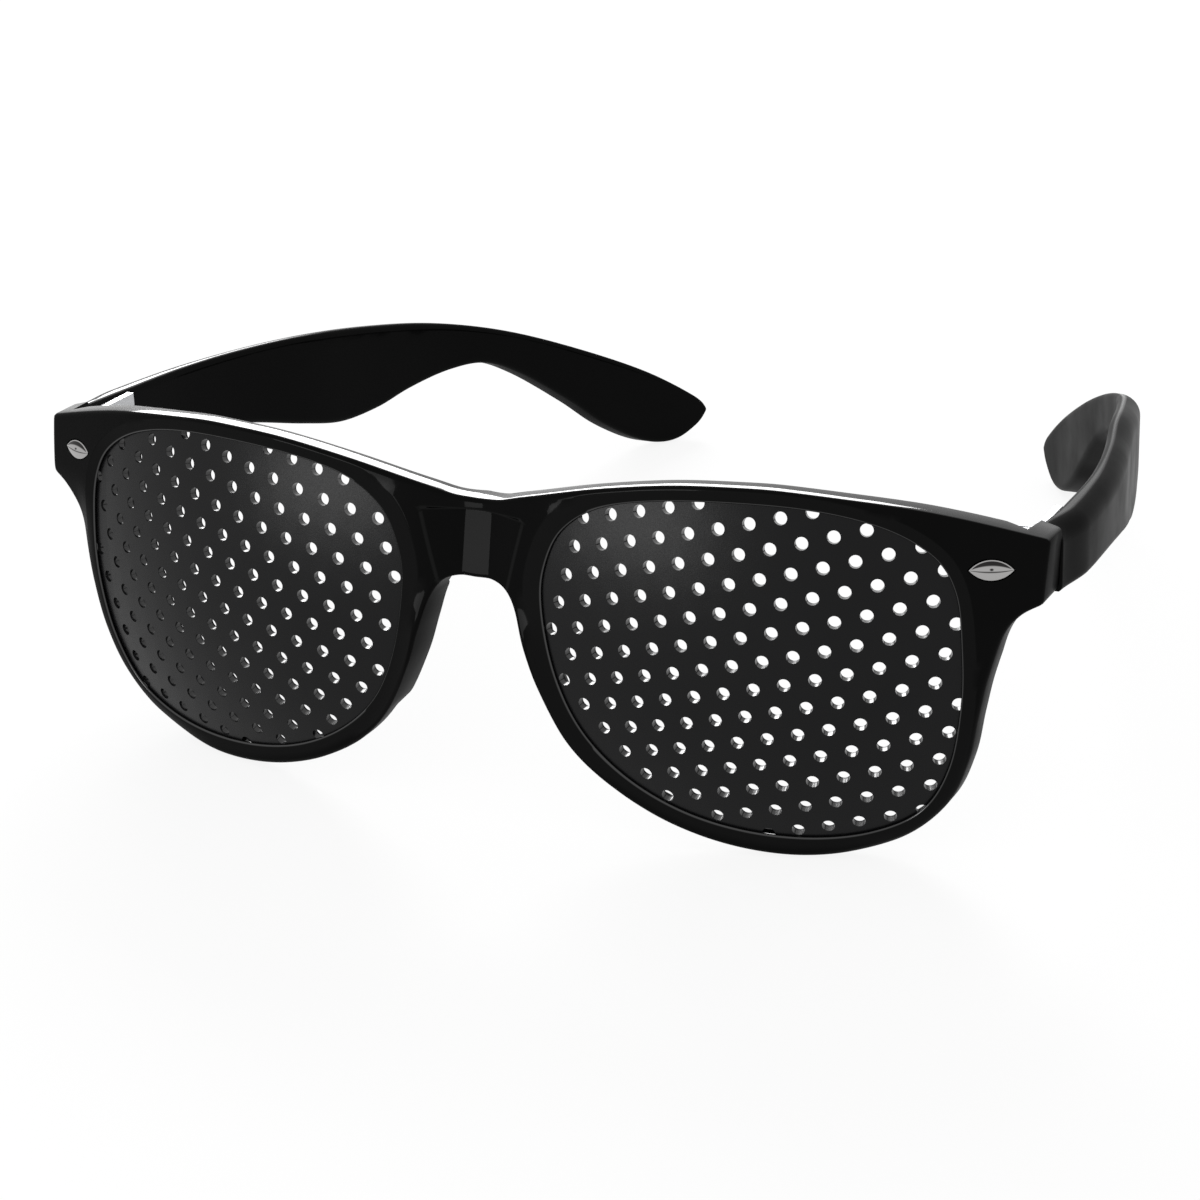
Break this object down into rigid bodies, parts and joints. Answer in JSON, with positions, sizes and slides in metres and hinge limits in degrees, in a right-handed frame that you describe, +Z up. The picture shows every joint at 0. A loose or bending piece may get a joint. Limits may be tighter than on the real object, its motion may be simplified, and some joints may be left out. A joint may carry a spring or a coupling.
{
  "type": "novelty glasses",
  "caption": "Black moulded glasses with curved perforated plates in place of lenses, bright almond-shaped corner plates and folding temples.",
  "frame": {"origin": "on the table under the middle of the glasses as they rest open, at the middle of the bounding box's bottom", "axes": "+X towards the wearer's left, +Y from the front towards the ear ends, +Z up"},
  "size_m": [0.1458, 0.1408, 0.0489],
  "materials": {
    "frame_plastic": "glossy injection-moulded black",
    "plate_plastic": "satin black perforated sheet",
    "chrome_trim": "polished stamping",
    "hinge_steel": "nickel-plated satin"
  },
  "bodies": {
    "front": {"front_frame": "frame_plastic", "left_pinhole_plate": "plate_plastic", "left_corner_plate": "chrome_trim", "left_front_hinge_leaf": "hinge_steel", "left_hinge_screw": "hinge_steel", "left_front_leaf_screws": "hinge_steel", "right_pinhole_plate": "plate_plastic", "right_corner_plate": "chrome_trim", "right_front_hinge_leaf": "hinge_steel", "right_hinge_screw": "hinge_steel", "right_front_leaf_screws": "hinge_steel"},
    "left_temple_body": {"left_temple": "frame_plastic", "left_temple_hinge_leaf": "hinge_steel", "left_temple_leaf_screws": "hinge_steel"},
    "right_temple_body": {"right_temple": "frame_plastic", "right_temple_hinge_leaf": "hinge_steel", "right_temple_leaf_screws": "hinge_steel"}
  },
  "joints": [
    {"name": "left_temple_fold", "type": "hinge", "parent": "front", "child": "left_temple_body", "pos_m": [0.0673, -0.05092, 0.03891], "axis": [0, 0.0438, 0.999], "range_deg": [0, 74]},
    {"name": "right_temple_fold", "type": "hinge", "parent": "front", "child": "right_temple_body", "pos_m": [-0.0673, -0.05092, 0.03891], "axis": [0, -0.0438, -0.999], "range_deg": [0, 67]}
  ]
}
